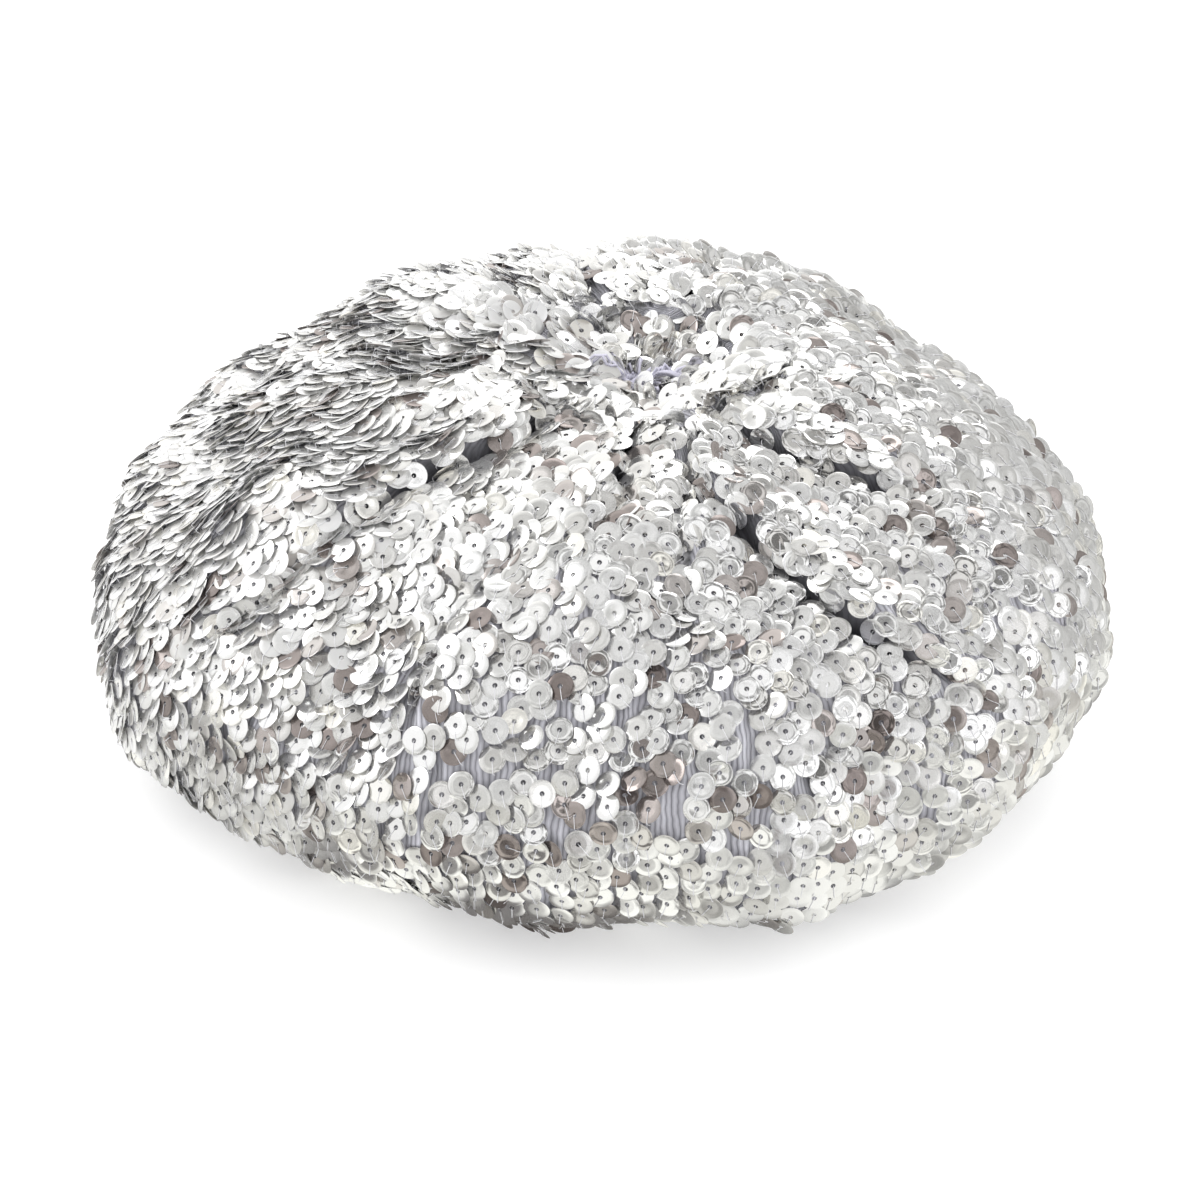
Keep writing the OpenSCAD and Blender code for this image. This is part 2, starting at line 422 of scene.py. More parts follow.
class Nodes:
    """Short calls for building a node tree."""

    def __init__(self, tree):
        self.nodes = tree.nodes
        self.links = tree.links

    def node(self, kind, **settings):
        made = self.nodes.new("ShaderNode" + kind)
        for key, value in settings.items():
            setattr(made, key, value)
        return made

    def put(self, target, value):
        """Sets a socket to a value, or links it to another node's socket."""
        if isinstance(value, bpy.types.NodeSocket):
            self.links.new(value, target)
        else:
            target.default_value = value

    def attribute(self, name, output="Fac"):
        return self.node("Attribute", attribute_name=name).outputs[output]

    def noise(self, vector, scale, detail, roughness=0.5):
        made = self.node("TexNoise")
        self.put(made.inputs["Vector"], vector)
        made.inputs["Scale"].default_value = scale
        made.inputs["Detail"].default_value = detail
        made.inputs["Roughness"].default_value = roughness
        return made.outputs["Fac"]

    def ramp(self, factor, stops):
        made = self.node("ValToRGB")
        while len(made.color_ramp.elements) < len(stops):
            made.color_ramp.elements.new(0.5)
        for element, (place, colour) in zip(made.color_ramp.elements, stops):
            element.position = place
            element.color = (*colour, 1)
        self.put(made.inputs["Fac"], factor)
        return made.outputs["Color"]

    def maths(self, operation, *values):
        made = self.node("Math", operation=operation)
        for socket, value in zip(made.inputs, values):
            self.put(socket, value)
        return made.outputs[0]

    def mix(self, factor, a, b):
        made = self.node("Mix", data_type="RGBA")
        self.put(made.inputs[0], factor)
        self.put(made.inputs[6], a)
        self.put(made.inputs[7], b)
        return made.outputs[2]

    def spread(self, factor, low, high):
        made = self.node("MapRange")
        self.put(made.inputs["Value"], factor)
        made.inputs["To Min"].default_value = low
        made.inputs["To Max"].default_value = high
        return made.outputs["Result"]

    def bump(self, height, distance, strength, under=None):
        made = self.node("Bump")
        made.inputs["Strength"].default_value = strength
        made.inputs["Distance"].default_value = distance
        self.put(made.inputs["Height"], height)
        if under is not None:
            self.put(made.inputs["Normal"], under)
        return made.outputs["Normal"]

    def flecks(self, way, scale, dark, light):
        """Blotches between two colours, each given with its place on the noise."""
        return self.ramp(self.noise(way, scale, 1.5), [dark, light])

    def patch(self, way, towards, inner, outer):
        """1 within an angle of a direction and 0 beyond a wider one, in degrees."""
        dot = self.node("VectorMath", operation="DOT_PRODUCT")
        dot.inputs[1].default_value = Vector(towards).normalized()
        self.put(dot.inputs[0], way)
        ease = self.node("MapRange", interpolation_type="SMOOTHSTEP")
        ease.inputs["From Min"].default_value = math.cos(math.radians(outer))
        ease.inputs["From Max"].default_value = math.cos(math.radians(inner))
        self.put(ease.inputs["Value"], dot.outputs["Value"])
        return ease.outputs["Result"]


class Shader(Nodes):
    """A material with one Principled surface."""

    def __init__(self, name):
        self.material = bpy.data.materials.new(name)
        self.material.use_nodes = True
        super().__init__(self.material.node_tree)
        self.surface = self.nodes["Principled BSDF"]

    def finish(self, **sockets):
        for key, value in sockets.items():
            self.put(self.surface.inputs[key.replace("_", " ")], value)
        return self.material


def sequin_material():
    sh = Shader("silver_film")
    tone = sh.attribute("tone")
    haze = sh.attribute("haze")
    matt = sh.attribute("matt")
    place = sh.node("TexCoord").outputs["Object"]
    # Tone differs at random from disc to disc. The darkest brown stops also give some lower-front discs a
    # painted dark reflection.
    colour = sh.ramp(
        tone,
        [
            (0.0, (0.22, 0.18, 0.17)),
            (0.035, (0.44, 0.39, 0.37)),
            (0.10, (0.72, 0.71, 0.69)),
            (0.45, (0.86, 0.86, 0.85)),
            (0.86, (0.93, 0.93, 0.93)),
            (1.0, (0.94, 0.92, 0.86)),
        ],
    )
    specks = sh.noise(place, 2600, 2.0)
    colour = sh.mix(sh.spread(specks, 0.0, 0.16), colour, (0.66, 0.65, 0.63, 1))
    scuffs = sh.noise(place, 900, 4.0, 0.6)
    roughness = sh.maths("ADD", sh.spread(haze, 0.05, 0.24), sh.spread(scuffs, -0.03, 0.06))
    roughness = sh.maths("ADD", roughness, sh.spread(matt, 0.0, 0.16))
    normal = sh.bump(sh.noise(place, 420, 2.0), 0.00003, 0.5)
    metal = sh.spread(matt, 0.90, 0.66)
    return sh.finish(Base_Color=colour, Metallic=metal, Roughness=roughness, Normal=normal)


def yarn_material(name, dark, light, tint, strands):
    """Several strands side by side, running along the weave attribute's second value."""
    sh = Shader(name)
    weave = sh.attribute("weave", "Vector")
    parts = sh.node("SeparateXYZ")
    sh.put(parts.inputs[0], weave)
    place = sh.node("TexCoord").outputs["Object"]
    wander = sh.noise(place, 160, 2.0)
    across = sh.maths("ADD", sh.maths("MULTIPLY", parts.outputs[0], strands), sh.spread(wander, -0.8, 0.8))
    saw = sh.maths("PINGPONG", across, 0.5)
    strand = sh.maths("POWER", sh.maths("MULTIPLY", saw, 2.0), 0.6)
    which = sh.node("TexWhiteNoise", noise_dimensions="1D")
    sh.put(which.inputs["W"], sh.maths("FLOOR", across))
    fuzz = sh.noise(place, 2400, 4.0, 0.65)
    shade = sh.maths("MULTIPLY", strand, sh.spread(which.outputs["Value"], 0.55, 1.0))
    shade = sh.maths("MULTIPLY", shade, sh.spread(fuzz, 0.75, 1.2))
    colour = sh.ramp(shade, [(0.0, dark), (0.45, light), (1.0, tint)])
    # Painted shade: where the fold attribute is high, the yarn colour is mixed to near black. This stands for
    # the shade deep in the folds and over the lower front.
    colour = sh.mix(sh.attribute("fold"), colour, (0.085, 0.085, 0.095, 1))
    normal = sh.bump(strand, 0.25 * MM, 0.9)
    normal = sh.bump(fuzz, 0.00008, 0.6, normal)
    sh.surface.inputs["Sheen Weight"].default_value = 0.12
    sh.surface.inputs["Sheen Roughness"].default_value = 0.5
    return sh.finish(Base_Color=colour, Roughness=sh.spread(fuzz, 0.62, 0.9), Normal=normal)


def thread_material(name, colour_a, colour_b, gloss):
    sh = Shader(name)
    place = sh.node("TexCoord").outputs["Object"]
    ply = sh.node("TexWave", wave_type="BANDS", bands_direction="DIAGONAL")
    ply.inputs["Scale"].default_value = 1500
    ply.inputs["Distortion"].default_value = 2.0
    sh.put(ply.inputs["Vector"], place)
    colour = sh.ramp(ply.outputs["Fac"], [(0.0, colour_a), (1.0, colour_b)])
    normal = sh.bump(ply.outputs["Fac"], 0.00005, 0.6)
    roughness = sh.spread(ply.outputs["Fac"], gloss, gloss + 0.2)
    return sh.finish(Base_Color=colour, Roughness=roughness, Normal=normal)


def satin_material():
    sh = Shader("lining_satin")
    place = sh.node("TexCoord").outputs["Object"]
    weave = sh.node("TexWave", wave_type="BANDS", bands_direction="DIAGONAL")
    weave.inputs["Scale"].default_value = 900
    weave.inputs["Distortion"].default_value = 1.0
    sh.put(weave.inputs["Vector"], place)
    cloud = sh.noise(place, 35, 4.0)
    colour = sh.ramp(cloud, [(0.3, (0.50, 0.50, 0.55)), (0.7, (0.62, 0.62, 0.66))])
    colour = sh.mix(sh.spread(weave.outputs["Fac"], 0.0, 0.25), colour, (0.76, 0.76, 0.80, 1))
    normal = sh.bump(weave.outputs["Fac"], 0.00004, 0.5)
    normal = sh.bump(sh.noise(place, 240, 3.0), 0.0003, 0.25, normal)
    sh.surface.inputs["Sheen Weight"].default_value = 0.4
    return sh.finish(Base_Color=colour, Roughness=sh.spread(cloud, 0.30, 0.42), Normal=normal)


def tape_material(name, colour_a, colour_b):
    """Flat woven tape: fine ribs across it."""
    sh = Shader(name)
    place = sh.node("TexCoord").outputs["Object"]
    warp = sh.node("TexWave", wave_type="BANDS", bands_direction="Z")
    warp.inputs["Scale"].default_value = 600
    sh.put(warp.inputs["Vector"], place)
    fuzz = sh.noise(place, 1800, 3.0)
    shade = sh.maths("MULTIPLY", warp.outputs["Fac"], sh.spread(fuzz, 0.6, 1.0))
    colour = sh.ramp(shade, [(0.0, colour_a), (0.8, colour_b)])
    normal = sh.bump(shade, 0.0001, 0.7)
    return sh.finish(Base_Color=colour, Roughness=sh.spread(fuzz, 0.6, 0.8), Normal=normal)


SILVER = sequin_material()
KNIT_YARN = yarn_material("knit_yarn", (0.20, 0.20, 0.22), (0.50, 0.495, 0.54), (0.74, 0.74, 0.80), 5)
RIB_YARN = yarn_material("rib_yarn", (0.20, 0.19, 0.22), (0.50, 0.50, 0.56), (0.74, 0.74, 0.80), 4)
CORD_YARN = thread_material("cord_yarn", (0.34, 0.33, 0.40), (0.68, 0.67, 0.77), 0.6)
SEWING = thread_material("sewing_thread", (0.55, 0.55, 0.58), (0.78, 0.78, 0.80), 0.5)
STRINGING = thread_material("stringing_thread", (0.60, 0.60, 0.62), (0.84, 0.84, 0.86), 0.35)
SATIN = satin_material()
TAPE = tape_material("label_tape", (0.72, 0.72, 0.70), (0.93, 0.93, 0.91))
ELASTIC = tape_material("elastic_weave", (0.66, 0.66, 0.66), (0.88, 0.88, 0.88))


def dress(piece, material):
    piece.data.materials.clear()
    piece.data.materials.append(material)


# ---------------------------------------------------------------- the knit body

KNIT_PER_COLUMN = 6
KNIT_ROWS = 108
KNIT_INNER_ROWS = 28
RIB_HEIGHT = 0.55


def weave_corners(run, cols, per_column):
    """Weave coordinates at each quad's corners: columns across, then mm along, with no jump at the seam."""
    r = np.arange(len(run) - 1)[:, None].repeat(cols, 1)
    c = np.arange(cols)[None, :].repeat(len(run) - 1, 0)
    u = np.stack([c, c, c + 1, c + 1], -1) / per_column
    v = np.stack([run[r], run[r + 1], run[r + 1], run[r]], -1)
    return np.stack([u, v, 0 * v], -1)


def body_knit():
    cols = COLUMNS * KNIT_PER_COLUMN
    phi = np.arange(cols) * TURN / cols
    first = math.asin(GATHER_R / RIM_R)
    s = np.linspace(along_knit(first), along_knit(math.pi - 0.001), KNIT_ROWS)
    a = angle_at(s)
    rib = RIB_HEIGHT * np.cos(phi * COLUMNS) * np.clip(s / 40, 0.2, 1)[:, None]
    outer = knit_points(a[:, None], phi[None, :], rib - 0.3)
    s_in = np.linspace(s[-1], s[0], KNIT_INNER_ROWS)
    a_in = angle_at(s_in)
    inner = knit_points(a_in[:, None], phi[None, :], -KNIT_T)
    points = np.concatenate([outer.reshape(-1, 3), inner.reshape(-1, 3)])
    rows = KNIT_ROWS + KNIT_INNER_ROWS
    faces = grid_faces(rows, cols, wrap_rows=True)
    piece = new_piece("body_knit_pleated", points, [faces], ["body_knit"], 180)
    weave = weave_corners(np.concatenate([s, s_in, s[:1]]), cols, KNIT_PER_COLUMN)
    set_attribute(piece, "weave", weave, "FLOAT_VECTOR", "CORNER")
    both = np.concatenate([s, s_in])
    # The fold attribute holds painted shade: full in the cores of the deep folds, and up to 0.4 over the
    # lower front.
    core = fold_core(both[:, None].repeat(cols, 1), phi[None, :].repeat(rows, 0), 1.9, 1.7)
    low_front_shade = 0.4 * low_front(phi, np.concatenate([a, a_in])[:, None], 60, 0.4)
    set_attribute(piece, "fold", np.maximum(core, low_front_shade))
    dress(piece, KNIT_YARN)


# ---------------------------------------------------------------- sequins and their threads

SEGMENTS = 22
DISC_STEP = 2.7
LEFT_CROWD, LIP_CROWD = 1.0, 0.9
PLACE_SCATTER, ROUND_SCATTER = 0.13, 0.5
LIP_TURN, SIDE_DRIFT, DOWN_DRIFT = 20, 4, 5
MOST_DISCS = 152
TUCKED_ROUNDS = 3
BARE_SHARE = 0.55
# Share of the lower-front discs that get a painted dark brown reflection.
DARK_REFLECTION_SHARE = 0.20
CUPPED_SHARE = 0.14
STITCH_R = 0.07
GATHER_BAND_R = 31
CROWN_BAND_R = 62
lean_drift = waves(21, 40, 40, 12)
crown_drift = waves(22, 40, 40, 12)
sparse = waves(23, 40, 20, 9)


def round_angles():
    """Profile angles of the rounds, spaced as in the frame."""
    angles = [math.asin(FIRST_SEQUIN_R / RIM_R)]
    while True:
        s = along_knit(angles[-1]) + ROUND_PITCH
        a = float(angle_at(s))
        if a > LAST_SEQUIN_ANGLE:
            return angles
        angles.append(a)


ROUNDS = round_angles()


def sequin_template():
    """Points as radius shares and angle, with the faces of one thin closed ring."""
    shares = np.array([HOLE_R / SEQUIN_R, 0.55, 0.95, 1.0, 0.95, 0.55, HOLE_R / SEQUIN_R])
    heights = np.array([0.5, 0.5, 0.5, 0.0, -0.5, -0.5, -0.5]) * SEQUIN_T
    return shares, heights, grid_faces(len(shares), SEGMENTS, wrap_rows=True)


def disc_places(index, a0, rng):
    """Distance along the knit, azimuth, tone and share of the lower front for the discs of one round.

    They crowd on the left lobe and at fold lips. Some are left out deep in folds and in the lower front, and
    some there get a painted dark brown reflection.
    """
    turn = np.linspace(0, TURN, 1441)
    loop = knit_points(a0, turn, 1.0)
    run = np.concatenate([[0], np.cumsum(np.linalg.norm(np.diff(loop, axis=0), axis=1))])
    crowd = 1 + LEFT_CROWD * near(turn, *LEFT_CROWDED) + LIP_CROWD * np.abs(fold_lip(along_knit(a0), turn))
    filled = np.concatenate([[0], np.cumsum(np.diff(run) * (crowd[1:] + crowd[:-1]) / 2)])
    count = round(min(run[-1] / DISC_STEP, MOST_DISCS) * filled[-1] / run[-1])
    step = filled[-1] / count
    place = (np.arange(count) + 0.25) * step + rng.normal(0, PLACE_SCATTER * step, count)
    phi = np.interp(place % filled[-1], filled, turn)
    brick = np.where(np.arange(count) % 2, 0.25, -0.25) * ROUND_PITCH
    tucked = max(0, TUCKED_ROUNDS - index) * (1.4 + rng.uniform(0, 1.2, count))
    s = along_knit(a0) + brick + rng.normal(0, ROUND_SCATTER, count) - tucked
    low = low_front(phi, a0, 40, 0.26)
    bare = BARE_SHARE * low * (sparse(knit_points(a0, phi)) > 0.6)
    shown = rng.uniform(0, 1, count) > np.maximum(fold_core(s, phi, 1.5, 2.1), bare)
    # Painted reflection: a share of the lower-front discs get a dark brown tone for the dark surroundings
    # they mirror.
    brown_reflection = rng.uniform(0, 1, count) < DARK_REFLECTION_SHARE * low
    tone = np.where(brown_reflection, rng.uniform(0, 0.04, count), rng.uniform(0, 1, count))
    return s[shown], phi[shown], tone[shown], low[shown]


def disc_leans(a0, phi, here, low, lips, rng):
    """How far each disc leans sideways and down the crown."""
    radius = float(base_profile(np.array(a0))[0])
    loose = 6 + 8 * np.clip(1 - radius / 60, 0, 1) + 6 * low
    side = SIDE_LEAN + NEAR_SIDE_LEAN * near(phi, *NEAR_SIDE) - FRONT_LEFT_LEAN * near(phi, *FRONT_LEFT)
    side = side - LEFT_LOBE_LEAN * near(phi, *LEFT_LOBE)
    front = near(phi, *FRONT_CROWN) * np.clip((112 - radius) / 45, 0, 1) * (a0 < math.pi / 2)
    side = side * (1 - 0.6 * front)
    side = side + np.radians(-LIP_TURN * lips + SIDE_DRIFT * lean_drift(here) + rng.normal(0, loose))
    down = CROWN_LEAN * (1 - 2.3 * front)
    return side, down + np.radians(DOWN_DRIFT * crown_drift(here) + rng.normal(0, 6, len(phi)) * (1 + low))


def disc_shapes(count, rng):
    """Each disc's points in its own axes, its cupping, and the faces: thin rings, all bent a little."""
    shares, heights, faces = sequin_template()
    spin = np.arange(SEGMENTS) * TURN / SEGMENTS
    size = SEQUIN_R * rng.uniform(0.975, 1.01, count)
    cupped = rng.uniform(0, 1, count) < CUPPED_SHARE
    cup = np.where(cupped, rng.uniform(0.12, 0.36, count), rng.uniform(0.0, 0.03, count))
    bend = rng.normal(0, 0.020, count)
    bend_way = rng.uniform(0, TURN, count)
    x = shares[:, None] * np.cos(spin)[None, :]
    y = shares[:, None] * np.sin(spin)[None, :]
    bent = (x[None] * np.cos(bend_way)[:, None, None] + y[None] * np.sin(bend_way)[:, None, None]) ** 2
    z = heights[None, :, None] + cup[:, None, None] * (x**2 + y**2)[None] + bend[:, None, None] * bent
    return np.stack([x[None] * size[:, None, None], y[None] * size[:, None, None], z], -1), cup, faces


def sequin_round(index, a0, rng):
    s, phi, tone, low = disc_places(index, a0, rng)
    count = len(s)
    here, outward, round_it, normal = knit_frames(angle_at(s), phi)
    lips = fold_lip(s, phi)
    side, down = disc_leans(a0, phi, here, low, lips, rng)
    facing = unit(normal - np.tan(down)[:, None] * outward - np.tan(side)[:, None] * round_it)
    across = unit(outward - facing * (outward * facing).sum(1, keepdims=True))
    along = np.cross(facing, across)
    lift = SEQUIN_R * np.sin(np.abs(side)) + 0.5 + rng.uniform(0, 0.35, count)
    centre = here + normal * lift[:, None] - 0.8 * lips[:, None] * round_it
    local, cup, faces = disc_shapes(count, rng)
    points = centre[:, None, None]
    for k, way in enumerate((across, along, facing)):
        points = points + local[..., k : k + 1] * way[:, None, None]
    rise = np.maximum(FLOOR_GAP - points[..., 2].min((1, 2)), 0)
    points[..., 2] += rise[:, None, None]
    centre[:, 2] += rise
    each = points.shape[1] * SEGMENTS
    all_faces = (faces[None] + (np.arange(count) * each)[:, None, None]).reshape(-1, 4)
    number = f"{index + 1:02d}"
    node = f"sequin_round_{number}"
    piece = new_piece(f"sequins_round_{number}", points.reshape(-1, 3), [all_faces], [node], 35)
    set_attribute(piece, "tone", tone.repeat(each))
    set_attribute(piece, "haze", rng.uniform(0, 1, count).repeat(each))
    set_attribute(piece, "matt", near(phi, *LEFT_MATT).repeat(each))
    dress(piece, SILVER)
    return centre, across, along, facing, cup, normal


def sequin_stitches(name, node, held, rng):
    """The thread of each sequin: up through its hole, over its film and down into the knit past its edge."""
    centre, across, along, facing, cup, normal = [np.concatenate(x) for x in zip(*held)]
    n = len(centre)
    swing = rng.normal(0, 0.35, n)
    way = unit(np.cos(swing)[:, None] * across + np.sin(swing)[:, None] * along)
    shares = [0.0, 0.0, 0.12, 0.5, 0.95, 1.08, 1.05]
    lifts = [-1.1, 0.05, 0.24, 0.20, 0.22, 0.0, -1.3]
    path = np.stack(
        [
            centre + way * (SEQUIN_R * k) + facing * (h + cup * k * k * (h > 0))[:, None]
            for k, h in zip(shares, lifts)
        ],
        1,
    )
    points, faces = tubes(path, STITCH_R, 4, normal[:, None, :])
    piece = new_piece(name, points, faces, [node], 180)
    dress(piece, STRINGING)


def all_sequins():
    rng = np.random.default_rng(2026)
    bands = {
        "gather": (0, math.asin(GATHER_BAND_R / RIM_R)),
        "crown": (math.asin(GATHER_BAND_R / RIM_R), math.asin(CROWN_BAND_R / RIM_R)),
        "side": (math.asin(CROWN_BAND_R / RIM_R), math.pi / 2),
        "under": (math.pi / 2, math.pi),
    }
    held = {band: [] for band in bands}
    for index, a0 in enumerate(ROUNDS):
        made = sequin_round(index, a0, rng)
        band = next(b for b, (low, high) in bands.items() if low <= a0 < high)
        held[band].append(made)
    for band, rounds in held.items():
        sequin_stitches(f"stitches_{band}", f"sequin_threads_{band}", rounds, rng)


# ---------------------------------------------------------------- gathered centre

GATHER_MIDDLE = np.array([GATHER_SHIFT * (1 - GATHER_R / RIM_R), 0, (cord_low[2] + cord_high[2]) / 2])
PLIES, PLY_TURNS, PLY_R, PLY_OFF = 3, 9, 0.46, 0.42


def gather_cord():
    """Plies laid round the gathered ring."""
    turns = np.linspace(0, TURN, 96, endpoint=False)
    plies = []
    for k in range(PLIES):
        twist = turns * PLY_TURNS + k * TURN / PLIES
        r = GATHER_R - 1.0 + PLY_OFF * np.cos(twist)
        path = polar(r, turns, 0.6 + PLY_OFF * np.sin(twist))
        plies.append(ring_tube(path, PLY_R, 8))
    points, faces = joined(plies)
    piece = new_piece("gather_cord_twisted", points + GATHER_MIDDLE, faces, ["gather_cord"], 180)
    dress(piece, CORD_YARN)


def gather_knot():
    """An overhand knot with two short tails."""
    t = np.linspace(0, TURN, 90, endpoint=False)
    path = np.stack([np.sin(t) + 2 * np.sin(2 * t), np.cos(t) - 2 * np.cos(2 * t), -1.1 * np.sin(3 * t)], -1)
    knot = ring_tube(path * 0.85 + [0.01, 0.01, 0.4], 0.62, 8)
    u = np.linspace(0, 1, 8)[:, None]
    tails = []
    for bearing in (0.7, 3.5):
        way = np.array([math.cos(bearing), math.sin(bearing), 0])
        tails.append(way * (1.5 + 5.5 * u) + [0, 0, 0.8] + np.array([0, 0, 2.4]) * np.sin(u * 2.4))
    points, faces = joined([knot, tubes(np.array(tails), 0.5, 8)])
    piece = new_piece("gather_knot_tied", points + GATHER_MIDDLE, faces, ["gather_knot"], 180)
    dress(piece, CORD_YARN)


def gather_yarns():
    """Short stitches that radiate from the drawcord, and a few loose ends that lie over them."""
    rng = np.random.default_rng(7)
    count = 46
    phi = np.arange(count) * TURN / count + rng.normal(0, 0.03, count)
    u = np.linspace(0, 1, 9)
    s = GATHER_R - 1.2 + u[None, :] * rng.uniform(4, 11, count)[:, None]
    swirl = phi[:, None] + rng.normal(0, 0.22, count)[:, None] * np.sin(u * 2.6)[None, :]
    lift = 0.3 + 1.1 * np.sin(u * math.pi)[None, :] * rng.uniform(0.4, 1, count)[:, None]
    paths = knit_points(angle_at(s), swirl, lift)
    loose = 12
    bearing = np.radians(np.where(np.arange(loose) % 4, 338, 182)) + rng.normal(0, 0.2, loose)
    s = 3.0 + u[None, :] * rng.uniform(8, 13, loose)[:, None]
    swirl = bearing[:, None] + 0.16 * np.sin(u * 5 + bearing[:, None] * 9)
    over = knit_points(angle_at(s), swirl, 1.5 + 2.6 * np.sin(u * 2.9)[None, :])
    points, faces = tubes(np.concatenate([paths, over]), 0.36, 6)
    yarns = new_piece("gather_yarns", points, faces, [], 180)
    dress(yarns, CORD_YARN)


# ---------------------------------------------------------------- headband

RIBS = 120
RIB_SAMPLES = 8
BAND_PLY = 2.0


def band_outline():
    """Outline of the folded band as radius, height and the way its ribs stand: outside, then pocket."""
    middle, half = (BAND_R + BAND_OUT_R) / 2, (BAND_OUT_R - BAND_R) / 2
    turns = np.linspace(0, math.pi, 13)
    heights = np.linspace(BAND_H - 0.6, half + 0.4, 11)
    outside = [(BAND_R, h, -1.0, 0.0) for h in heights]
    under = [(math.cos(t), math.sin(t)) for t in turns]
    outside += [(middle - half * c, half * (1 - s), -c, -s) for c, s in under]
    outside += [(BAND_OUT_R, h, 1.0, 0.0) for h in heights[::-1]]
    outside += [(BAND_OUT_R - 0.5 * BAND_PLY, BAND_H, 0.2, 0.6)]
    gap = half - BAND_PLY
    pocket = [(BAND_OUT_R - BAND_PLY, h, 0.0, 0.0) for h in heights]
    pocket += [(middle + gap * math.cos(t), half - gap * math.sin(t), 0.0, 0.0) for t in turns]
    pocket += [(BAND_R + BAND_PLY, h, 0.0, 0.0) for h in heights[::-1]]
    pocket += [(BAND_R + 0.5 * BAND_PLY, BAND_H, -0.2, 0.6)]
    return np.array(outside + pocket)


def headband_knit():
    outline = band_outline()
    cols = RIBS * RIB_SAMPLES
    phi = np.arange(cols) * TURN / cols
    rib = 0.34 * np.tanh(2.2 * np.cos(phi * RIBS)) - 0.34
    r = outline[:, 0][:, None] + outline[:, 2][:, None] * rib[None, :]
    z = outline[:, 1][:, None] + outline[:, 3][:, None] * rib[None, :]
    points = polar(r, phi, z).reshape(-1, 3)
    rows = len(outline)
    faces = grid_faces(rows, cols, wrap_rows=True)[:, ::-1]
    piece = new_piece("headband_ribbed", points, [faces], ["headband_rib"], 180)
    run = np.concatenate([[0], np.cumsum(np.hypot(*np.diff(outline[:, :2], axis=0).T))])
    weave = weave_corners(np.append(run, run[-1] + 1), cols, RIB_SAMPLES)
    set_attribute(piece, "weave", weave[..., ::-1, :], "FLOAT_VECTOR", "CORNER")
    dress(piece, RIB_YARN)


def headband_elastic():
    low, high = box_mm("headband_elastic")
    levels = 12
    cols = 720
    phi = np.arange(cols) * TURN / cols
    ripple = 0.05 * np.cos(phi * 180)
    heights = np.linspace(low[2], high[2], levels)
    walls = []
    for inset, rows in ((0.05, heights), (0.75, heights[::-1])):
        r = high[0] - inset + ripple
        walls += [polar(r, phi, np.full(cols, h)) for h in rows]
    faces = grid_faces(2 * levels, cols, wrap_rows=True)[:, ::-1]
    piece = new_piece("elastic_woven", np.concatenate(walls), [faces], ["headband_elastic"], 60)
    dress(piece, ELASTIC)


def band_seam():
    """An overcast seam: a thread that winds round the join of body and band."""
    low, high = box_mm("band_seam_thread")
    stitches = 160
    turns = np.linspace(0, TURN, 12 * stitches, endpoint=False)
    loop = turns * stitches
    r = high[0] - 0.4 + 0.35 * np.cos(loop)
    z = (low[2] + high[2]) / 2 + 0.3 * np.sin(loop)
    path = polar(r, turns, z)
    points, faces = ring_tube(path, 0.22, 6)
    piece = new_piece("band_seam_overcast", points, faces, ["band_seam_thread"], 180)
    dress(piece, SEWING)


# ---------------------------------------------------------------- lining and label

satin_waves = waves(31, 30, 60, 18)


def lining_points(a, phi, lift=0.0):
    a, phi = np.broadcast_arrays(np.asarray(a, float), np.asarray(phi, float))
    crown = a < math.pi / 2
    inner = BAND_OUT_R + 0.4
    rise = LINING_TOP - RIM_Z
    r = np.where(crown, LINING_R * np.sin(a), inner + (LINING_R - inner) * np.sin(a))
    z = RIM_Z + np.where(crown, rise, LINING_DROP) * np.cos(a)
    normal_r = np.sin(a)
    normal_z = np.cos(a)
    flat = polar(r, phi, z)
    near_hem = np.clip((math.pi - a) / 0.4, 0, 1)
    off = lift - (0.9 * np.abs(satin_waves(flat)) + 0.35) * near_hem
    r, z = r + off * normal_r, z + off * normal_z
    return polar(r, phi, z)


def lining_wall(a, cols):
    """The two faces of a lining panel along its profile angles, and back again."""
    phi = np.arange(cols) * TURN / cols
    face = lining_points(a[:, None], phi[None, :])
    back = lining_points(a[::-1][:, None], phi[None, :], -LINING_T)
    return face, np.concatenate([face.reshape(-1, 3), back.reshape(-1, 3)])


def lining_panels():
    cols = 360
    a = np.concatenate([[0.0005], np.linspace(0.04, PANEL_SPLIT - 0.004, 44)])
    _, points = lining_wall(a, cols)
    rows = 2 * len(a)
    caps = [np.arange(cols)[None, ::-1], (rows - 1) * cols + np.arange(cols)[None, :]]
    faces = [grid_faces(rows, cols), *caps]
    crown = new_piece("lining_crown_satin", points, faces, ["lining_crown"], 180)
    dress(crown, SATIN)

    a = np.linspace(PANEL_SPLIT + 0.002, math.pi - 0.002, 60)
    face, points = lining_wall(a, cols)
    faces = [grid_faces(2 * len(a), cols, wrap_rows=True)]
    side = new_piece("lining_side_satin", points, faces, ["lining_side"], 180)
    dress(side, SATIN)


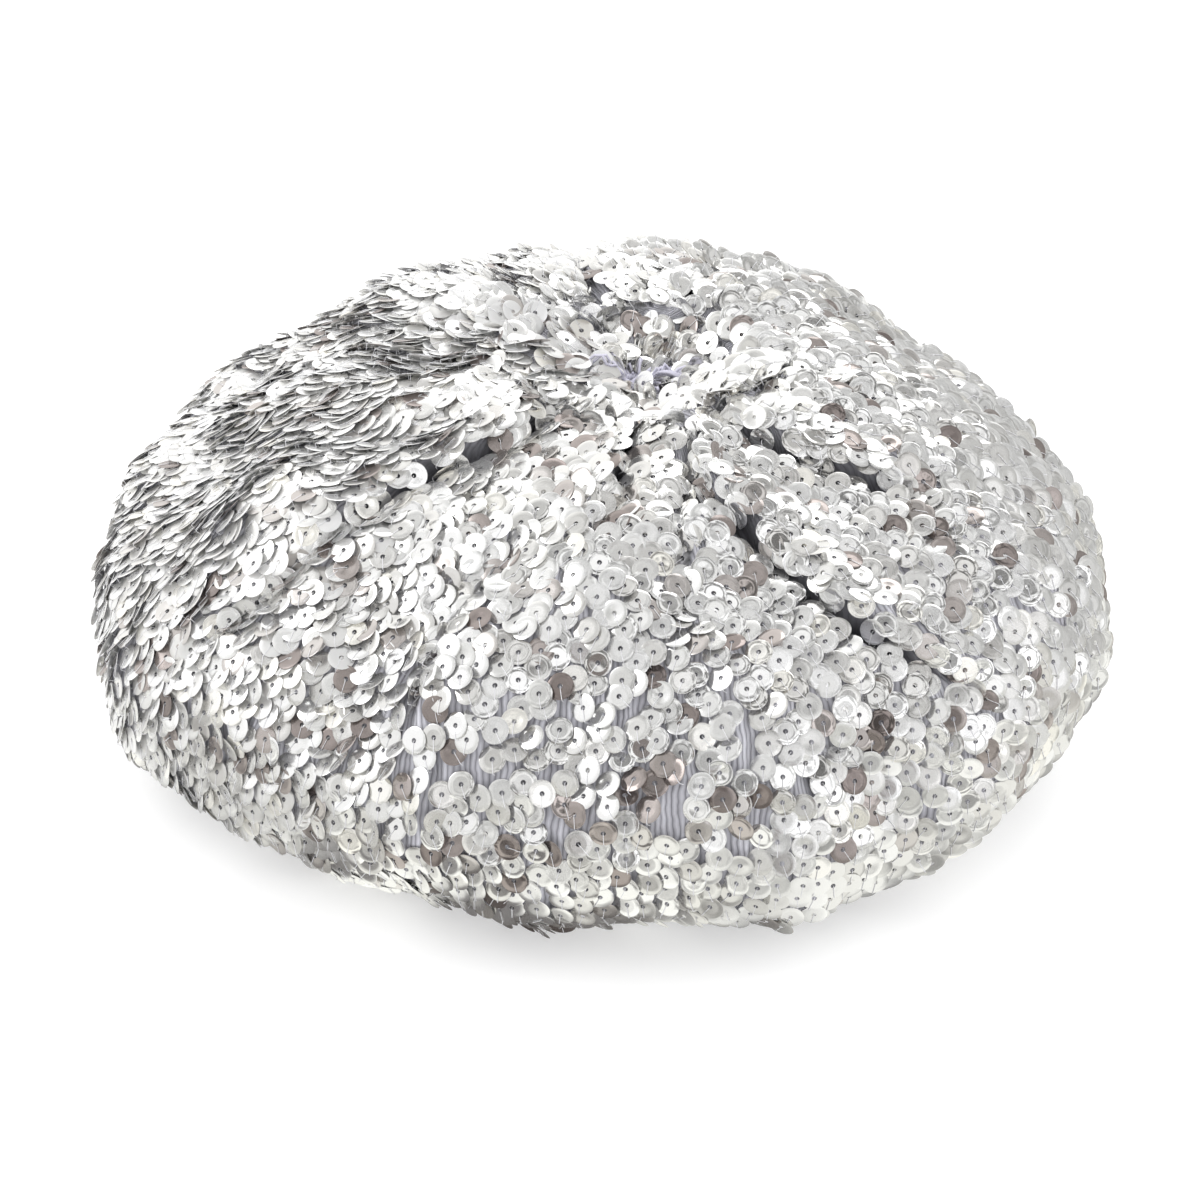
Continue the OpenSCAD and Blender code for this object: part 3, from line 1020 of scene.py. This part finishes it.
def lining_stitches():
    """The seam between the panels, then the whip stitches that hold the hem to the headband."""
    dashes = 150
    steps = np.linspace(-0.36, 0.36, 6)
    turn = (np.arange(dashes)[:, None] + steps[None, :]) * TURN / dashes
    arch = 0.05 + 0.32 * np.cos(steps / 0.36 * 1.5)
    paths = lining_points(np.full_like(turn, PANEL_SPLIT), turn, -LINING_T - arch[None, :])
    points, faces = tubes(paths, 0.2, 6)
    piece = new_piece("lining_seam_stitches", points, faces, ["lining_seam_thread"], 180)
    dress(piece, SEWING)

    dashes = 60
    u = np.linspace(0, 1, 7)
    turn = (np.arange(dashes)[:, None] + 0.34 * u[None, :]) * TURN / dashes
    r = BAND_OUT_R - 1.2 + 3.4 * u
    z = np.where(u < 0.5, BAND_H + 0.25 - 1.0 * u, BAND_H - 4.6 * (u - 0.5) - 0.25)
    paths = polar(r, turn, z + 0 * turn)
    points, faces = tubes(paths, 0.28, 6)
    piece = new_piece("lining_hem_whipping", points, faces, ["lining_hem_stitches"], 180)
    dress(piece, SEWING)


LABEL_AT = math.pi / 2
LABEL_FROM, LABEL_TO = 62, 82
label_low, label_high = box_mm("care_label")
LABEL_W = label_high[0] - label_low[0]
LABEL_HALF_TURN = LABEL_W / 2 / LINING_R


def care_label():
    """A blank label whose free sides curl away from the lining."""
    rows, cols = 20, 30
    across = np.linspace(LABEL_AT - LABEL_HALF_TURN, LABEL_AT + LABEL_HALF_TURN, cols)
    down = np.radians(np.linspace(LABEL_FROM, LABEL_TO, rows))
    curl = 0.5 * np.abs((across - LABEL_AT) / LABEL_HALF_TURN) ** 3
    lift = -LINING_T - 0.75 - curl[None, :] * np.linspace(0, 1, rows)[:, None]
    front = lining_points(down[:, None], across[None, :], lift - 0.3)
    back = lining_points(down[:, None], across[None, :], lift)
    points = np.concatenate([front.reshape(-1, 3), back.reshape(-1, 3)])
    face = grid_faces(rows, cols, wrap_cols=False)
    other = face[:, ::-1] + rows * cols
    rim = np.concatenate(
        [
            np.arange(cols),
            np.arange(1, rows) * cols + cols - 1,
            (rows - 1) * cols + np.arange(cols - 2, -1, -1),
            np.arange(rows - 2, 0, -1) * cols,
        ]
    )
    after = np.roll(rim, -1)
    wall = np.stack([rim, after, after + rows * cols, rim + rows * cols], -1)
    piece = new_piece("care_label_blank", points, [face, other, wall[:, ::-1]], ["care_label"], 60)
    dress(piece, TAPE)


def label_stitches():
    steps = np.linspace(0, 1, 5)
    arch = 0.35 * np.sin(steps * math.pi)
    edges = []
    for side in (-1, 1):
        turn = np.full(5, LABEL_AT + side * (LABEL_HALF_TURN - 0.012))
        for k in range(7):
            angle = np.radians(LABEL_FROM + 2 + 2.5 * k + 1.5 * steps)
            edges.append(lining_points(angle, turn, -LINING_T - 1.1 - arch))
    points, faces = tubes(np.array(edges), 0.16, 6)
    piece = new_piece("label_stitching", points, faces, ["label_stitches"], 180)
    dress(piece, SEWING)


# ---------------------------------------------------------------- floor, light and surroundings


def stage():
    mesh = bpy.data.meshes.new("floor")
    half = 6.0
    corners = [(-half, -half, 0), (half, -half, 0), (half, half, 0), (-half, half, 0)]
    mesh.from_pydata(corners, [], [(0, 1, 2, 3)])
    floor = bpy.data.objects.new("floor", mesh)
    link(floor)
    floor.location.z = -0.2 * MM
    sh = Shader("floor_white")
    place = sh.node("TexCoord").outputs["Object"]
    tint = sh.ramp(sh.noise(place, 3, 2.0), [(0.3, (0.60, 0.60, 0.60)), (0.7, (0.63, 0.63, 0.63))])
    sh.surface.inputs["Emission Color"].default_value = (1, 1, 1, 1)
    sh.surface.inputs["Emission Strength"].default_value = 0.42
    floor.data.materials.append(sh.finish(Base_Color=tint, Roughness=0.85))


def softbox(name, place, target, size, energy):
    data = bpy.data.lights.new(name, "AREA")
    data.shape = "RECTANGLE"
    data.size, data.size_y = size
    data.energy = energy
    lamp = bpy.data.objects.new(name, data)
    link(lamp)
    lamp.location = place
    lamp.rotation_euler = (Vector(target) - Vector(place)).to_track_quat("-Z", "Y").to_euler()


def surroundings():
    """A bright tent. The film mirrors its softer and darker stretches, and the camera sees plain white."""
    world = bpy.data.worlds.new("tent")
    bpy.context.scene.world = world
    world.use_nodes = True
    net = Nodes(world.node_tree)
    way = net.node("TexCoord").outputs["Generated"]
    tone = net.flecks(way, 6.0, (0.40, (0.54, 0.54, 0.53)), (0.60, (0.92, 0.92, 0.90)))
    near_camera = net.flecks(way, 9.0, (0.44, (0.08, 0.078, 0.074)), (0.55, (1.08, 1.08, 1.08)))
    bright = net.flecks(way, 10.0, (0.42, (0.26, 0.26, 0.26)), (0.52, (1.6, 1.6, 1.62)))
    dull = net.flecks(way, 8.0, (0.42, (0.32, 0.32, 0.31)), (0.58, (0.80, 0.80, 0.80)))
    toward_camera = (0, -math.cos(CAMERA_ELEVATION), math.sin(CAMERA_ELEVATION))
    stretches = [
        ((-0.4, 0.9, 0.1), 34, 60, (1.3, 1.3, 1.28, 1)),
        (toward_camera, 20, 42, near_camera),
        ((0.55, -0.75, 0.32), 18, 38, bright),
        ((-0.05, -0.95, 0.30), 5, 9, (0.13, 0.10, 0.09, 1)),
        ((-0.9, 0.0, 0.43), 24, 38, (1.0, 1.0, 1.0, 1)),
        ((0.65, 0.45, 0.60), 26, 48, dull),
        ((0.12, -0.15, 0.98), 24, 42, near_camera),
    ]
    for towards, inner, outer, over in stretches:
        tone = net.mix(net.patch(way, towards, inner, outer), tone, over)
    seen = net.node("LightPath")
    light = net.mix(seen.outputs["Is Glossy Ray"], (1.7, 1.7, 1.71, 1), tone)
    light = net.mix(seen.outputs["Is Camera Ray"], light, (1, 1, 1, 1))
    net.put(net.nodes["Background"].inputs["Color"], light)


def reflection_card():
    """A glowing card over the floor that only the film mirrors: painted reflections, dark brown toward the
    front. It stands for the darker table under the hat.
    """
    mesh = bpy.data.meshes.new("reflection_card")
    cols = 64
    turn = np.arange(cols) * TURN / cols
    rings = [polar(r, turn, 0 * turn) for r in (0.06, 0.4, 1.0, 5.5)]
    mesh.from_pydata(np.concatenate(rings).tolist(), [], grid_faces(4, cols)[:, ::-1].tolist())
    card = bpy.data.objects.new("reflection_card", mesh)
    link(card)
    card.location.z = 0.5 * MM
    for ray in ("camera", "diffuse", "transmission", "shadow", "volume_scatter"):
        setattr(card, "visible_" + ray, False)
    material = bpy.data.materials.new("reflection_card")
    material.use_nodes = True
    net = Nodes(material.node_tree)
    net.nodes.remove(net.nodes["Principled BSDF"])
    place = net.node("TexCoord").outputs["Object"]
    way = net.node("VectorMath", operation="NORMALIZE")
    net.put(way.inputs[0], place)
    tone = net.flecks(place, 16.0, (0.44, (0.16, 0.155, 0.15)), (0.56, (1.05, 1.05, 0.99)))
    brown_reflection = net.flecks(place, 24.0, (0.43, (0.10, 0.09, 0.085)), (0.55, (1.15, 1.15, 1.08)))
    bright = net.flecks(place, 20.0, (0.43, (0.28, 0.28, 0.27)), (0.55, (1.05, 1.05, 1.0)))
    stretches = [
        ((-0.30, -1.0, 0), 14, 40, brown_reflection),
        ((0.70, -0.70, 0), 18, 42, bright),
        ((-0.4, 0.9, 0), 40, 80, (1.1, 1.1, 1.08, 1)),
    ]
    for towards, inner, outer, over in stretches:
        tone = net.mix(net.patch(way.outputs[0], towards, inner, outer), tone, over)
    glow = net.node("Emission")
    net.put(glow.inputs["Color"], tone)
    net.put(net.nodes["Material Output"].inputs["Surface"], glow.outputs[0])
    mesh.materials.append(material)


def lighting():
    softbox("key_left", (-1.3, -0.1, 1.0), (0, 0, 0.05), (0.7, 0.7), 3.5)
    softbox("top_back", (0.3, 1.0, 1.5), (0, 0, 0.05), (1.2, 0.5), 4)
    view = bpy.context.scene.view_settings
    view.view_transform = "Standard"
    view.look = "None"
    view.exposure = 0.0


stage()
surroundings()
reflection_card()
lighting()
body_knit()
all_sequins()
gather_cord()
gather_knot()
gather_yarns()
headband_knit()
headband_elastic()
band_seam()
lining_panels()
lining_stitches()
care_label()
label_stitches()
